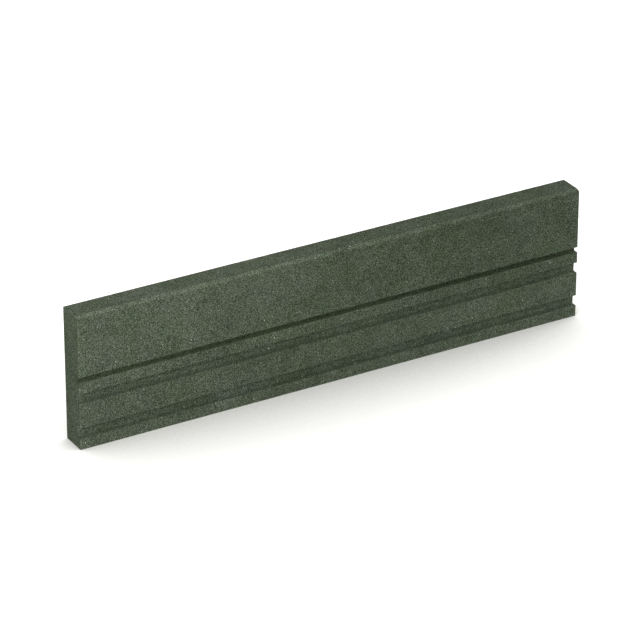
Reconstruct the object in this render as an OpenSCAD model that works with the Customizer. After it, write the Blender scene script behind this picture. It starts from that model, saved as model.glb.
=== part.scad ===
// Rubber kerb: a straight edging unit pressed in one piece from bonded
// rubber granulate. It stands on its narrow foot, with three grooves along
// the lower half of the front face. The concrete haunch grips these grooves.
//
// Frame: X along the kerb, Y from the front face to the back, Z up.
// The origin is the middle of the foot.

/* [Kerb] */
// Length of one kerb, from end to end
kerb_length = 1000; // [250:10:2000]
// Height from the foot to the top face
kerb_height = 250; // [200:5:500]
// Thickness from the front face to the back face
kerb_thickness = 50; // [30:1:120]

/* [Top front edge] */
// How far the bevel reaches back over the top face
bevel_run = 9.5; // [6:0.5:15]
// How far below the top the front face begins
bevel_drop = 4.5; // [3.5:0.5:8]
// Radius of the nose between the bevel and the front face
nose_radius = 2.5; // [1:0.5:3]

/* [Grooves] */
// Depth of every groove, in from the front face
groove_depth = 10; // [4:0.5:15]
// Height of the two wide grooves
wide_groove = 20; // [8:1:25]
// Height of the narrow groove above them
narrow_groove = 10; // [5:1:15]

/* [Lands between the grooves] */
// Height of the land from the foot to the lowest groove
foot_land = 21; // [15:1:30]
// Height of the land between the two wide grooves
middle_land = 45.5; // [20:0.5:50]
// Height of the land between the upper wide groove and the narrow one
upper_land = 20.5; // [10:0.5:25]

/* [Hidden] */
$fn = 64;

// How far a cutting shape runs past the face that it cuts
overcut = 1;

// The front and back faces lie at equal distances from the origin
front = -kerb_thickness / 2;

// Lower edge of each groove, counted up from the foot
low_groove_z = foot_land;
mid_groove_z = low_groove_z + wide_groove + middle_land;
top_groove_z = mid_groove_z + wide_groove + upper_land;

// Every groove as [lower edge, height]
grooves = [
    [low_groove_z, wide_groove],
    [mid_groove_z, wide_groove],
    [top_groove_z, narrow_groove]
];

// What the bevel and its nose take off a square corner that lies at the
// origin, with the material towards +X and -Y
module corner_waste(run, drop, radius) {
    nose = [radius, -drop];
    // The bevel starts from the top face and touches the nose as a tangent
    slope = atan2(drop, run - radius) - asin(radius / norm([run - radius, drop]));
    touch = nose + radius * [-sin(slope), cos(slope)];
    difference() {
        polygon([
            [run, 0],
            [run, overcut],
            [-overcut, overcut],
            [-overcut, -drop],
            nose,
            touch
        ]);
        translate(nose)
            circle(radius);
    }
}

// Cross-section before the grooves: X is the kerb's depth, Y its height
module blank_section() {
    difference() {
        translate([front, 0])
            square([kerb_thickness, kerb_height]);
        translate([front, kerb_height])
            corner_waste(bevel_run, bevel_drop, nose_radius);
    }
}

// Cross-section of one groove, open to the front
module groove_section(lower_edge, height) {
    translate([front - overcut, lower_edge])
        square([groove_depth + overcut, height]);
}

// The finished cross-section, the same from one end to the other
module kerb_section() {
    difference() {
        blank_section();
        for (groove = grooves)
            groove_section(groove[0], groove[1]);
    }
}

// The kerb, drawn out along X and centred on the origin
module kerb() {
    color("darkolivegreen")
        rotate([90, 0, 90])
            linear_extrude(height = kerb_length, center = true)
                kerb_section();
}

kerb();
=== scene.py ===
# %% [markdown]
# # A kerb pressed from rubber granulate
#
# Kerbs like this one edge playgrounds, where a fall should not hurt. Old tyres are shredded into
# crumbs of half a millimetre to two, the crumbs are stirred with a green binder, and a steel mould
# presses them into one solid block. So there is a single piece here, and all that makes it look
# like rubber is in its skin: flat-pressed crumbs of slightly different greens, dark pores between
# them, and arrises that have lost a crumb here and there. Its colours also hold painted light: a
# painted highlight on the bevel and along the arrises, and painted shade in the narrow groove.
#
# The lesson first builds the block with its uneven faces and worn arrises, then gives it crumbs
# and colours, and then lights it in a plain white studio. Lengths are metres, as Blender has them,
# and MM turns millimetres into metres.

# %% Load the measured kerb, which fixes every size
import math
import random

import bmesh
import bpy
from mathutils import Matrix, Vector, geometry, noise


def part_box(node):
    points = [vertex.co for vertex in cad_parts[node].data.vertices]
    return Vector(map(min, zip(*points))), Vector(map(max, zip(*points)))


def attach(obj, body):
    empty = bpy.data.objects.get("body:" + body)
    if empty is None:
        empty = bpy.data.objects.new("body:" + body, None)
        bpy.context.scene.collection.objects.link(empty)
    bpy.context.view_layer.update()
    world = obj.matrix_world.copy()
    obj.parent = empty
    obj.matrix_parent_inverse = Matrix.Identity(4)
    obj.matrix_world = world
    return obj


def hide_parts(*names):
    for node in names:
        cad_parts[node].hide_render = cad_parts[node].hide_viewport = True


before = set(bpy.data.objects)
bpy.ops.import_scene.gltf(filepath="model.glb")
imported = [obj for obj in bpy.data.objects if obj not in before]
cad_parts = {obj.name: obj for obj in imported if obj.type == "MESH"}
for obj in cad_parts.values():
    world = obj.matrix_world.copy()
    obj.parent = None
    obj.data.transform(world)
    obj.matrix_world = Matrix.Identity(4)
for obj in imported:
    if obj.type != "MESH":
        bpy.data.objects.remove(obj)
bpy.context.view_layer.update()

MM = 0.001
cad_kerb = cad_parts["kerb"]
kerb_low, kerb_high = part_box("kerb")
kerb_size = kerb_high - kerb_low
print("kerb", [round(side / MM, 1) for side in kerb_size], "mm")

# %% [markdown]
# ## The section
#
# A mould gives the kerb the same section from one end to the other: an upright with a bevelled
# front edge at the top, and three grooves low in the front that lock into a concrete haunch.
#
# The section could be typed in again here, but then the shown kerb could drift from the measured
# one. So it is read from the end face of the measured solid. The rim of that face is made of the
# edges that only one of its faces touches, and a walk along them gives the corners in order.

# %% Read the section's outline from the end face
WELD = 0.01 * MM        # points of the solid closer than this are one point


def rim_of_end_face(solid_object):
    """The corners (y, z) of the right end face, in order round its rim."""
    solid = bmesh.new()
    solid.from_mesh(solid_object.data)
    bmesh.ops.remove_doubles(solid, verts=solid.verts, dist=WELD)
    end_x = max(corner.co.x for corner in solid.verts)
    on_end = {face for face in solid.faces if all(abs(v.co.x - end_x) < WELD for v in face.verts)}
    rim = {edge for edge in solid.edges if len(on_end.intersection(edge.link_faces)) == 1}
    corner = min((v for edge in rim for v in edge.verts), key=lambda v: (v.co.z, v.co.y))
    walked = []
    while rim:
        walked.append((corner.co.y, corner.co.z))
        edge = max((e for e in corner.link_edges if e in rim), key=lambda e: e.other_vert(corner).co.y)
        rim.remove(edge)
        corner = edge.other_vert(corner)
    solid.free()
    return walked


corners = rim_of_end_face(cad_kerb)
sides = list(zip(corners, corners[1:] + corners[:1]))
print("outline corners", len(corners))

# %% [markdown]
# ## Where the skin gets its points
#
# The uneven press and the worn arrises are real shape, so the faces that show need a point for
# every third crumb. A point for each crumb would be truer, but at seven times the triangles, and
# the crumbs themselves can be a bump. The back and the foot are plain faces that lie against
# paving and concrete, and they get fewer. Each corner gets two more lines of points close by,
# which let it wear and chip without softening the face beside it.

# %% Divide the outline and the length
SKIN_STEP = 2.7 * MM    # distance between neighbouring points on the faces that show
HIDDEN_STEP = 8 * MM    # the same on the back and the foot
LIP = 0.6 * MM          # the line of points nearest to each corner
LIP_END = 1.6 * MM      # the second line, where the face is plain again


def stops(length, step):
    """Fractions of a stretch at which its points lie, with two close to each of its ends."""
    if length < 3 * LIP_END:    # too short to divide, such as a facet of the nose
        return [0]
    inner = length - 2 * LIP_END
    pieces = max(1, round(inner / step))
    inside = [LIP_END + inner * piece / pieces for piece in range(pieces + 1)]
    return [distance / length for distance in [0, LIP, *inside, length - LIP]]


outline = []
for here, after in sides:
    start = Vector(here)
    end = Vector(after)
    on_back = min(start.x, end.x) > kerb_high.y - WELD
    on_foot = max(start.y, end.y) < kerb_low.z + WELD
    for fraction in stops((end - start).length, HIDDEN_STEP if on_back or on_foot else SKIN_STEP):
        outline.append(tuple(start.lerp(end, fraction)))
stations = [kerb_low.x + kerb_size.x * fraction for fraction in stops(kerb_size.x, SKIN_STEP) + [1]]
print("skin", len(outline), "points round and", len(stations), "along")

# %% [markdown]
# ## The long skin
#
# This is a net of quads: one ring of points for each station along the kerb, and a quad between
# each two neighbours of one ring and the same two of the next. Every point also carries a number
# that a later step fills in and the colours read: how much painted highlight, painted shade and
# real wear it gets.

# %% Make the rings and the skin between them
block = bmesh.new()
# a number at each point for painted highlight, painted shade and real wear in the colours
painted_light_and_wear = block.verts.layers.float.new("painted_light_and_wear")
rings = [[block.verts.new((x, y, z)) for y, z in outline] for x in stations]
for ring, following in zip(rings, rings[1:]):
    for i in range(len(outline)):
        j = (i + 1) % len(outline)
        block.faces.new((ring[i], following[i], following[j], ring[j]))
skin_points = set(block.verts)
print("skin quads", len(block.faces))

# %% [markdown]
# ## The two end faces
#
# The ends are pressed faces too, and one big polygon could not be uneven. Points are scattered
# over each end, one to a cell of a net and a little off its middle, and then joined to each other
# and to the rim by a Delaunay triangulation, which makes the least slender triangles. The rim
# points are those of the long skin, and so the block is one closed mesh.

# %% Fill both end faces
END_STEP = 2.2 * MM     # distance between points inside an end face
STRAY = 0.3             # share of a cell that its point may lie off the middle
SAME = 1e-7             # metres, and points closer than this are joined by the triangulation
KEEP_INSIDE = 1         # the kind of triangulation that fills the rim and nothing else
dice = random.Random(7) # one seed, so that each run gives the same kerb


def inside_points(step):
    """Scattered points over the section's box, one for each cell of a net."""
    found = []
    for row in range(round(kerb_size.z / step)):
        for column in range(round(kerb_size.y / step)):
            y = kerb_low.y + (column + 0.5 + dice.uniform(-STRAY, STRAY)) * step
            z = kerb_low.z + (row + 0.5 + dice.uniform(-STRAY, STRAY)) * step
            found.append(Vector((y, z)))
    return found


def to_rim(point):
    """Distance from a point of the end face to the outline of the section."""
    nearest = []
    for here, after in sides:
        start = Vector(here)
        side = Vector(after) - start
        along = max(0, min(1, (point - start).dot(side) / side.length_squared))
        nearest.append((point - start - along * side).length)
    return min(nearest)


def fill_end(ring, step):
    """Triangles over the end face inside one ring."""
    rim = [Vector(point) for point in outline]
    spread = [point for point in inside_points(step) if to_rim(point) > LIP]
    rim_edges = [(i, (i + 1) % len(rim)) for i in range(len(rim))]
    points, _, triangles, sources, _, _ = geometry.delaunay_2d_cdt(
        rim + spread, rim_edges, [], KEEP_INSIDE, SAME)
    x = ring[0].co.x
    made = {}
    for i in {i for triangle in triangles for i in triangle}:
        on_rim = [source for source in sources[i] if source < len(ring)]
        made[i] = ring[on_rim[0]] if on_rim else block.verts.new((x, *points[i]))
    for triangle in triangles:
        block.faces.new([made[i] for i in triangle])


for ring in (rings[0], rings[-1]):
    fill_end(ring, END_STEP)
bmesh.ops.recalc_face_normals(block, faces=block.faces)
block.normal_update()
print("block", len(block.verts), "points,", sum(len(f.verts) - 2 for f in block.faces), "triangles")

# %% [markdown]
# ## Which points lie where
#
# Painted highlight, painted shade and wear differ from place to place, so the next steps need to
# know the arrises (the sharp edges that stick out), the lips beside them, the bevel at the top and
# the narrow groove. All of them are found from the shape itself. An arris is a sharp convex edge.
# The bevel is what leans both forward and up, and its lean is that of the longest slanted side of
# the section. The grooves' backs are the upright sides that lie deeper than the front, and the
# shortest is the narrow one's.

# %% Find the narrow groove, the arrises, their lips and the bevel
SHARP = math.radians(40)    # edges that turn more than this are arrises
UPRIGHT = 0.1           # a face is upright if its normal rises less than this
LEVEL = 0.995           # and level if it rises more than this

groove_backs = [sorted((low[1], high[1])) for low, high in sides
                if low[0] == high[0] and kerb_low.y + WELD < low[0] < kerb_high.y - WELD]
narrow_foot, narrow_top = min(groove_backs, key=lambda levels: levels[1] - levels[0])
arris = {point for edge in block.edges if edge.is_convex and edge.calc_face_angle() > SHARP
         for point in edge.verts}
lips = {edge.other_vert(point) for point in arris for edge in point.link_edges} - arris
bevel = {point for point in block.verts
         if point.co.z > narrow_top + LIP and point.normal.y < 0 and UPRIGHT < point.normal.z < LEVEL}
bevel -= arris
slants = [Vector(high) - Vector(low) for low, high in sides if low[0] != high[0] and low[1] != high[1]]
longest = max(slants, key=lambda slant: slant.length)
bevel_lean = abs(longest.x) / longest.length
print("narrow groove", round(narrow_foot / MM, 1), "to", round(narrow_top / MM, 1), "mm up")
print("bevel leans up by", round(bevel_lean, 3))
print("points on arrises", len(arris), "lips", len(lips), "bevel", len(bevel))

# %% [markdown]
# ## Painted highlight, painted shade and wear
#
# The colours get a painted highlight where light would catch the kerb. The bevel takes the most
# of it: all of it where its normal has the bevel's full lean, and less where it rounds into the
# front and the top. The front's ends get some painted highlight. The arrises and their lips get
# some too, partly painted highlight and partly real wear, since stacking, carrying and sweeping
# rub the skin of binder off whatever sticks out and the rubbed rubber is paler. The narrow groove
# is the other way round: it is painted darker, as painted shade. A painted picture could say all
# this, but a number at each point is simpler and follows the shape.

# %% Say how much painted highlight, painted shade and wear each point gets
# painted highlight on the arrises and their lips, partly real wear
ARRIS_WEAR_AND_HIGHLIGHT = 0.35
END_HIGHLIGHT = 0.4        # painted highlight on the front, right at its ends
END_HIGHLIGHT_RUN = 16 * MM    # how far from its ends the front gets the painted highlight
GROOVE_PAINTED_SHADE = -0.4        # painted shade in the narrow groove, darker than a plain face
FORWARD = -0.5          # a face looks forward if its normal's y is less than this


def painted_light_and_wear_at(point):
    """Painted highlight and wear (above 0) or painted shade (below 0) at a point: 0 is a plain face
    and 1 is the bevel.
    """
    from_end = min(point.co.x - kerb_low.x, kerb_high.x - point.co.x)
    if from_end <= LIP or point.co.y > kerb_high.y - LIP:
        return 0.0
    # the narrow groove is painted darker: painted shade
    if point.co.y > kerb_low.y + LIP and narrow_foot <= point.co.z <= narrow_top:
        return GROOVE_PAINTED_SHADE
    # the bevel's painted highlight follows its normal, fullest at the bevel's own lean
    if point in bevel:
        up = point.normal.z
        return min(up / bevel_lean, (1 - up) / (1 - bevel_lean))
    # the front's ends get a painted highlight; arrises and lips get painted highlight and wear
    near_end = max(0, 1 - from_end / END_HIGHLIGHT_RUN) if point.normal.y < FORWARD else 0
    return END_HIGHLIGHT * near_end + (ARRIS_WEAR_AND_HIGHLIGHT if point in arris or point in lips else 0)


for point in block.verts:
    point[painted_light_and_wear] = painted_light_and_wear_at(point)
amounts = [point[painted_light_and_wear] for point in block.verts]
print("painted_light_and_wear", round(min(amounts), 2), "to", round(max(amounts), 2))

# %% [markdown]
# ## The relief
#
# The mould presses the crumbs flat, so most points stay where the steel was and a few lie deeper,
# where a crumb was small or has come off. At the arrises the crumbs have less hold: all along they
# are a little worn, and where a smooth noise is high a piece of them is gone. One displacement
# noise for everything would be quicker, but it would make the faces lumpy, and the steel is flat.
#
# Points also stray a little along their faces. That breaks up the even rows of the net, which
# would otherwise show as faint stripes in slanting light.

# %% Press and wear the block
SUNK = 0.35 * MM        # the deepest place of a pressed face
SELDOM = 3              # a higher power makes deep places rarer
WORN = 0.08 * MM        # how far the arrises have worn back, give or take
UNEVEN = 0.4            # this share of it
CHIPPED = 0.6 * MM      # how much more they have lost where crumbs came off
CHIP_RUN = 7 * MM       # length of arris that a chip takes in
SIDEWAYS = 0.25         # share of the shortest edge that a point may stray along its face


def shift(point):
    """How the press and the wear move a point, all of it inward or along its face."""
    inward = -point.normal
    if point in arris:
        chip = CHIPPED * max(0, noise.noise(point.co / CHIP_RUN)) ** 2
        return inward * (WORN * dice.uniform(1 - UNEVEN, 1 + UNEVEN) + chip)
    aside = Vector((0, 0, 0))
    if point in skin_points and point not in lips:
        reach = SIDEWAYS * min(edge.calc_length() for edge in point.link_edges)
        aside = Vector([dice.uniform(-reach, reach) for _ in range(3)])
        aside -= aside.dot(point.normal) * point.normal
    return inward * SUNK * dice.random() ** SELDOM + aside


shifts = [shift(point) for point in block.verts]
for point, moved in zip(block.verts, shifts):
    point.co += moved
print("largest shift", round(max(moved.length for moved in shifts) / MM, 2), "mm")

# %% [markdown]
# ## The block takes the place of the measured kerb
#
# The faces are shaded smooth, so that the triangles under the skin don't show, and the arrises
# stay sharp. The block then rides on the frame's only body and stands in for the measured kerb,
# which is left as it is and just isn't shown.

# %% Make the object
mesh = bpy.data.meshes.new("kerb_granulate")
block.to_mesh(mesh)
block.free()
kerb = bpy.data.objects.new("kerb_granulate", mesh)
bpy.context.scene.collection.objects.link(kerb)
for polygon in mesh.polygons:
    polygon.use_smooth = True
mesh.set_sharp_from_angle(angle=SHARP)
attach(kerb, "root")
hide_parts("kerb")
print(kerb.name, "has", len(mesh.polygons), "faces")

# %% [markdown]
# ## Helpers for materials
#
# Colours are easiest to judge as the hex codes of a paint chart, but Blender's sockets take linear
# light, so one function turns the first into the second. Another adds a node: the values of its
# sockets, the links into them and its own options are all said in one call, which keeps each node
# to a line or two. A link can name a whole node, and then takes its first output. The third gives
# a new material or world an empty tree.

# %% Helpers for colours and nodes
def linear(code):
    """An sRGB hex colour as linear RGBA."""
    channels = [int(code[i:i + 2], 16) / 255 for i in (1, 3, 5)]
    return [c / 12.92 if c <= 0.04045 else ((c + 0.055) / 1.055) ** 2.4 for c in channels] + [1]


def add(tree, kind, values=None, links=None, **settings):
    """Add one node: values set its sockets, links feed them, and settings are its own options."""
    made = tree.nodes.new(kind)
    for name, value in settings.items():
        setattr(made, name, value)
    for socket, value in (values or {}).items():
        made.inputs[socket].default_value = value
    for socket, source in (links or {}).items():
        output = source.outputs[0] if isinstance(source, bpy.types.Node) else source
        tree.links.new(output, made.inputs[socket])
    return made


def empty_tree(owner):
    """The node tree of a new material or world, with nothing in it yet."""
    owner.use_nodes = True
    owner.node_tree.nodes.clear()
    return owner.node_tree


print("binder green", [round(channel, 3) for channel in linear("#586452")])

# %% [markdown]
# ## Pressed rubber granulate: the crumbs
#
# This is ground tyre rubber, about half a millimetre to two across, moulded under heat with a
# pigmented polyurethane binder. To the eye that gives a matt, speckled surface: each crumb is a
# small flat facet with a shade of its own, and thin dark pores run between the crumbs.
#
# A Voronoi pattern is just that. Each of its cells is a crumb, and the distance to the cell's edge
# says where the pores are. Cells alone look like cut glass, so a noise first pushes the place that
# they look up about by part of a crumb, and torn outlines come out. A second, finer Voronoi gives
# the dust that fills the gaps. All of it hangs on the kerb's own coordinates, so it stays put.

# %% The pattern of crumbs
CRUMB = 1.0 * MM        # a usual crumb of this grade, across
FINES = 0.5 * MM        # the finest crumbs, which fill the gaps
RAGGED = 0.4 * MM       # how far a crumb's outline strays from a clean polygon

rubber = bpy.data.materials.new("pressed_green_rubber_granulate")
tree = empty_tree(rubber)
place = add(tree, "ShaderNodeTexCoord").outputs["Object"]
tearing = add(tree, "ShaderNodeTexNoise", {"Scale": 1 / CRUMB, "Detail": 1.0}, {"Vector": place})
torn = add(tree, "ShaderNodeVectorMath", {1: (RAGGED,) * 3}, {0: tearing.outputs["Color"], 2: place},
           operation="MULTIPLY_ADD")
crumbs = add(tree, "ShaderNodeTexVoronoi", {"Scale": 1 / CRUMB}, {"Vector": torn})
borders = add(tree, "ShaderNodeTexVoronoi", {"Scale": 1 / CRUMB}, {"Vector": torn},
              feature="DISTANCE_TO_EDGE")
fines = add(tree, "ShaderNodeTexVoronoi", {"Scale": 1 / FINES}, {"Vector": torn})
crumb_draws = add(tree, "ShaderNodeSeparateColor", links={"Color": crumbs.outputs["Color"]})
fine_draws = add(tree, "ShaderNodeSeparateColor", links={"Color": fines.outputs["Color"]})
print("crumbs", round(CRUMB / MM, 1), "mm, fines", round(FINES / MM, 1), "mm")

# %% [markdown]
# ## The shades of the crumbs
#
# The binder does not cover each crumb alike. Some show nearly black rubber and some are thick with
# pigment, so the random number of each crumb goes through a ramp from rubber black to pale green.
# The fines add a third of the say, which roughens the shade inside a crumb.

# %% From black rubber to pale green binder
FINES_SAY = 0.35        # how much of the shade comes from the fines

draw = add(tree, "ShaderNodeMix", {"Factor": FINES_SAY},
           {"A": crumb_draws.outputs["Red"], "B": fine_draws.outputs["Red"]})
shades = add(tree, "ShaderNodeValToRGB", links={"Fac": draw})
ramp = shades.color_ramp
ramp.elements[0].color = linear("#060805")
ramp.elements[1].color = linear("#9da897")
for position, code in ((0.25, "#313b28"), (0.55, "#586452"), (0.8, "#778373")):
    ramp.elements.new(position).color = linear(code)
print("shades", len(ramp.elements))

# %% [markdown]
# ## What darkens and pales the crumbs
#
# Four things scale a crumb's shade. Pores are dark because little light gets out of them. The dye
# took better in some patches than in others, and since these patches have all sizes from a
# forearm's length down to a thumb's width, one noise with strong octaves draws them. The painted
# highlight and the worn arrises are paler, and the painted shade in the narrow groove is darker.
# And very few crumbs are pale all through, from a tyre's light sidewall.

# %% Pores, dye, painted highlight and shade with wear, and pale crumbs
PORE = 0.2 * MM         # half the width of the gap between two crumbs
PORE_SHADE = 0.3        # how much of its colour a crumb keeps down in a pore
CLOUD = 400 * MM        # the widest patches of more and less dye
DYE_DRAW = (19.71, -4.42, 11.65)    # metres: where in the noise the kerb lies, much like a seed
USUAL_LOW = 0.3         # nearly all of the noise lies between this
USUAL_HIGH = 0.7        # and this
THICK_DYE = 0.8         # how much of its lightness a crumb keeps where the dye is thickest
THIN_DYE = 1.33         # and where it is thinnest
LIGHT_AND_WEAR_PALES = 0.4         # how much paler the bevel's painted highlight is than a plain face
PALE_FROM = 0.995       # so 5 crumbs in 1000 are pale
PALEST = 5              # how many times paler than the rest

pores = add(tree, "ShaderNodeMapRange",
            {"From Min": 0, "From Max": PORE / CRUMB, "To Min": PORE_SHADE, "To Max": 1},
            {"Value": borders.outputs["Distance"]})
dye_place = add(tree, "ShaderNodeVectorMath", {1: DYE_DRAW}, {0: place}, operation="ADD")
patches = add(tree, "ShaderNodeTexNoise", {"Scale": 1 / CLOUD, "Detail": 4.0, "Roughness": 1.0},
              {"Vector": dye_place})
dyed = add(tree, "ShaderNodeMapRange",
           {"From Min": USUAL_LOW, "From Max": USUAL_HIGH, "To Min": THICK_DYE, "To Max": THIN_DYE},
           {"Value": patches})
# the painted highlight, painted shade and wear of each point pale or darken the crumbs
light_and_wear_attribute = add(tree, "ShaderNodeAttribute", attribute_name="painted_light_and_wear")
painted_light_level = add(tree, "ShaderNodeMath", {1: LIGHT_AND_WEAR_PALES, 2: 1.0}, {0: light_and_wear_attribute.outputs["Fac"]},
            operation="MULTIPLY_ADD")
pale_crumbs = add(tree, "ShaderNodeMapRange",
                  {"From Min": PALE_FROM, "From Max": 1, "To Min": 1, "To Max": PALEST},
                  {"Value": crumb_draws.outputs["Blue"]})
lightness = pores
for factor in (dyed, painted_light_level, pale_crumbs):
    lightness = add(tree, "ShaderNodeMath", links={0: lightness, 1: factor}, operation="MULTIPLY")
print("dye patches up to", round(CLOUD / MM), "mm")

# %% [markdown]
# ## Mossy and greyish patches
#
# The binder's hue differs as well: some places lean to moss green and others to grey. A second
# noise moves each place between two tints, each given as what it multiplies red, green and blue
# by. The dye patches have a small say in it, because thick dye also hides the grey. The painted
# shade in the narrow groove has one hue all along, and a mossy one.

# %% Tint the shades
TINGE = 150 * MM        # the widest patches of one hue
HUE_DRAW = (2.59, 9.68, 12.64)      # metres: the place of the kerb in this noise
DYE_SAY = 0.3           # how much of the hue follows the dye patches
GROOVE_SHADE_HUE = 0.3          # the hue of the narrow groove's painted shade, from 0 for mossy to 1 for greyish
MOSSY = (0.8, 1.0, 0.59, 1)
GREYISH = (1.23, 1.0, 1.34, 1)
COLOUR_A = 6            # a Mix of colours shares its sockets' names with numbers, so these are
COLOUR_B = 7            # called by their places
COLOUR_RESULT = 2

hue_place = add(tree, "ShaderNodeVectorMath", {1: HUE_DRAW}, {0: place}, operation="ADD")
hues = add(tree, "ShaderNodeTexNoise", {"Scale": 1 / TINGE, "Detail": 3.0, "Roughness": 1.0},
           {"Vector": hue_place})
hue_draws = add(tree, "ShaderNodeSeparateColor", links={"Color": hues.outputs["Color"]})
leaning = add(tree, "ShaderNodeMix", {"Factor": DYE_SAY},
              {"A": hue_draws.outputs["Blue"], "B": patches})
# the narrow groove's painted shade takes one mossy hue
hue = add(tree, "ShaderNodeMapRange", {"From Min": GROOVE_PAINTED_SHADE, "From Max": 0, "To Min": GROOVE_SHADE_HUE},
          {"Value": light_and_wear_attribute.outputs["Fac"], "To Max": leaning})
tint = add(tree, "ShaderNodeMix", {COLOUR_A: MOSSY, COLOUR_B: GREYISH}, {"Factor": hue},
           data_type="RGBA")
tinted = add(tree, "ShaderNodeMix", {"Factor": 1.0},
             {COLOUR_A: shades, COLOUR_B: tint.outputs[COLOUR_RESULT]},
             data_type="RGBA", blend_type="MULTIPLY")
coloured = add(tree, "ShaderNodeMix", {"Factor": 1.0},
               {COLOUR_A: tinted.outputs[COLOUR_RESULT], COLOUR_B: lightness},
               data_type="RGBA", blend_type="MULTIPLY")
print("hue patches up to", round(TINGE / MM), "mm")

# %% [markdown]
# ## The facets
#
# The mesh has a point for every third crumb, so what is finer is a bump. Each crumb leans its own
# way: its height is how far a place lies from the crumb's middle, along a random slope. The slope
# comes from the crumb's random colour, less a half so that it leans either way. Pores are sunk
# between the crumbs. So the facets catch the light one by one, and the skin sparkles a little.

# %% Lean the crumbs and sink the pores
TILT = 0.5              # slope of the steepest facets

from_middle = add(tree, "ShaderNodeVectorMath", links={0: torn, 1: crumbs.outputs["Position"]},
                  operation="SUBTRACT")
slope = add(tree, "ShaderNodeVectorMath", {1: (0.5, 0.5, 0.5)}, {0: crumbs.outputs["Color"]},
            operation="SUBTRACT")
facets = add(tree, "ShaderNodeVectorMath", links={0: from_middle, 1: slope},
             operation="DOT_PRODUCT")
sunk = add(tree, "ShaderNodeMapRange",
           {"From Min": 0, "From Max": PORE / CRUMB, "To Min": -PORE, "To Max": 0},
           {"Value": borders.outputs["Distance"]})
height = add(tree, "ShaderNodeMath", {1: TILT}, {0: facets.outputs["Value"], 2: sunk},
             operation="MULTIPLY_ADD")
relief = add(tree, "ShaderNodeBump", {"Strength": 1.0, "Distance": 1.0}, {"Height": height})
print("pores", round(PORE / MM, 1), "mm deep")

# %% [markdown]
# ## Matt rubber
#
# Solid rubber has an IOR of about 1.5. Granulate is duller than that says, because light that
# falls between the crumbs is lost. The specular level is therefore low, and the roughness runs
# from 0.7 on crumbs that the steel polished to 0.95 on torn ones.

# %% Put the granulate together
roughness = add(tree, "ShaderNodeMapRange", {"To Min": 0.7, "To Max": 0.95},
                {"Value": crumb_draws.outputs["Green"]})
granulate = add(tree, "ShaderNodeBsdfPrincipled", {"IOR": 1.5, "Specular IOR Level": 0.05},
                {"Base Color": coloured.outputs[COLOUR_RESULT], "Roughness": roughness,
                 "Normal": relief})
add(tree, "ShaderNodeOutputMaterial", links={"Surface": granulate})
mesh.materials.append(rubber)
print(rubber.name, "has", len(tree.nodes), "nodes")

# %% [markdown]
# ## The studio sweep
#
# The kerb stands on a white sweep that burns out to pure white, with a soft shadow at its foot.
# More light would burn it out too, but the kerb would then be lit by it and lose its dark green.
# So the sweep has two paints. The light meets a plain off-white. Rays that bring the background to
# the eye, straight or off something shiny, meet a warm grey that also glows where the sky over it
# is open. Near the kerb the sky is covered, the glow fades, and the shadow is left.

# %% Floor
SWEEP = 40              # metres across, so that its edges are far out of view
COVER = 3.0             # metres within which something overhead covers the sky
NO_GLOW = 0.29          # at this share of open sky the glow ends
GLOW = 1.13             # under an open sky, a little over the 1 of pure white


def to_eye(tree):
    """1 for rays that bring the background to the eye, straight or off something shiny or clear."""
    path = add(tree, "ShaderNodeLightPath")
    mirrored = add(tree, "ShaderNodeMath", operation="MAXIMUM",
                   links={0: path.outputs["Is Glossy Ray"], 1: path.outputs["Is Transmission Ray"]})
    return add(tree, "ShaderNodeMath", operation="MAXIMUM",
               links={0: path.outputs["Is Camera Ray"], 1: mirrored})


bpy.ops.mesh.primitive_plane_add(size=SWEEP)
floor = bpy.context.object
floor.name = "studio_floor"
sweep = bpy.data.materials.new("white_studio_sweep")
tree = empty_tree(sweep)
off_white = add(tree, "ShaderNodeBsdfDiffuse", {"Color": linear("#e7e7e7")})
open_sky = add(tree, "ShaderNodeAmbientOcclusion", {"Distance": COVER}, samples=8)
glow_level = add(tree, "ShaderNodeMapRange",
                 {"From Min": NO_GLOW, "From Max": 1.0, "To Min": 0.0, "To Max": GLOW},
                 {"Value": open_sky.outputs["AO"]})
glow = add(tree, "ShaderNodeEmission", links={"Strength": glow_level})
warm_grey = add(tree, "ShaderNodeBsdfDiffuse", {"Color": linear("#999991")})
glowing = add(tree, "ShaderNodeAddShader", links={0: warm_grey, 1: glow})
paints = add(tree, "ShaderNodeMixShader", links={"Fac": to_eye(tree), 1: off_white, 2: glowing})
add(tree, "ShaderNodeOutputMaterial", links={"Surface": paints})
floor.data.materials.append(sweep)
print(sweep.name, "on", floor.name)

# %% [markdown]
# ## The sky of the studio
#
# White walls far away throw a little light back on the kerb from all sides. They look pure white,
# and the kerb gets a fifth of that, for the same reason as with the sweep.

# %% World
WALL_LIGHT = 0.2        # of the light that the walls seem to give

world = bpy.data.worlds.new("studio")
bpy.context.scene.world = world
tree = empty_tree(world)
wall_level = add(tree, "ShaderNodeMapRange", {"To Min": WALL_LIGHT, "To Max": 1.0},
                 {"Value": to_eye(tree)})
walls = add(tree, "ShaderNodeBackground", {"Color": linear("#ffffff")}, {"Strength": wall_level})
add(tree, "ShaderNodeOutputWorld", links={"Surface": walls})
print("walls light the kerb with", WALL_LIGHT)

# %% [markdown]
# ## The lamps
#
# Low softboxes stand to the right of the kerb and behind it. The light of the first grazes the
# front, so the grooves read and the crumbs stand out. The others light the top and the back and
# throw the shadow forward. A higher one at the left fills the front, one with a grid brightens
# only its left part, and a weak one lights the left end. The far boxes are suns with a wide disc,
# which light the whole kerb evenly. The near ones are squares.

# %% Softboxes
def direction(azimuth, elevation):
    """Unit vector to a lamp or camera: azimuth 0 is in front of the kerb, 90 is to its right."""
    turn = math.radians(azimuth)
    rise = math.radians(elevation)
    across = math.cos(rise)
    return Vector((math.sin(turn) * across, -math.cos(turn) * across, math.sin(rise)))


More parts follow.
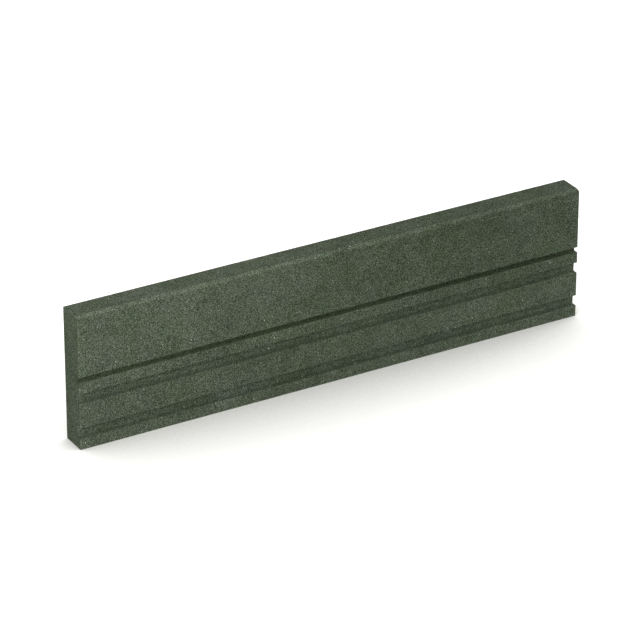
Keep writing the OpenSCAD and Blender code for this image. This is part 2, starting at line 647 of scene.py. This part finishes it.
def softbox(name, kind, place, aim=(0, 0, 0), **settings):
    """A lamp at a place that shines at a point."""
    data = bpy.data.lights.new(name, kind)
    for setting, value in settings.items():
        setattr(data, setting, value)
    made = bpy.data.objects.new(name, data)
    bpy.context.scene.collection.objects.link(made)
    made.location = place
    made.rotation_euler = (Vector(place) - Vector(aim)).to_track_quat("Z", "Y").to_euler()
    print(name, "at", [round(metres, 2) for metres in made.location], "m")


WIDE = math.radians(25) # how wide a far softbox looks from the kerb
FAR = 3                 # metres away, though a sun gives the same light from anywhere
for name, azimuth, elevation, strength in (
        ("right_softbox", 75, 12, 2.93), ("right_back_softbox", 105, 12, 2.79),
        ("back_softbox", 180, 12, 0.5), ("front_left_softbox", -40, 35, 1.08)):
    softbox(name, "SUN", FAR * direction(azimuth, elevation), energy=strength, angle=WIDE)
softbox("left_softbox_with_grid", "AREA", (-1.0, -0.7, 0.6), aim=(-0.4, 0, 0.2),
        energy=1.04, size=0.5, spread=math.radians(60))
softbox("end_softbox", "AREA", (-1.5, 0, 0.5), aim=(-0.5, 0, 0.12), energy=1.0, size=0.6)

# %% [markdown]
# ## The camera
#
# A long lens from seven metres away keeps the kerb's long edges nearly parallel, as a catalogue
# shows such goods. The camera stands to the left and looks down a little, so that the front, the
# top and the left end all show. The picture's middle is just left of the kerb's.

# %% Camera
AIM = Vector((-0.0276, 0, 0.1247))
AWAY = 6.9354           # metres from the aim to the lens
AZIMUTH = -30.1585      # degrees, to the left of the front
ELEVATION = 26.9079     # degrees

camera_data = bpy.data.cameras.new("camera")
camera_data.sensor_width = 36
camera_data.lens = 228.73
camera = bpy.data.objects.new("camera", camera_data)
bpy.context.scene.collection.objects.link(camera)
towards_camera = direction(AZIMUTH, ELEVATION)
camera.location = AIM + AWAY * towards_camera
camera.rotation_euler = towards_camera.to_track_quat("Z", "Y").to_euler()
bpy.context.scene.camera = camera
bpy.context.scene.view_settings.view_transform = "Standard"
print("camera at", [round(metres, 3) for metres in camera.location], "m")
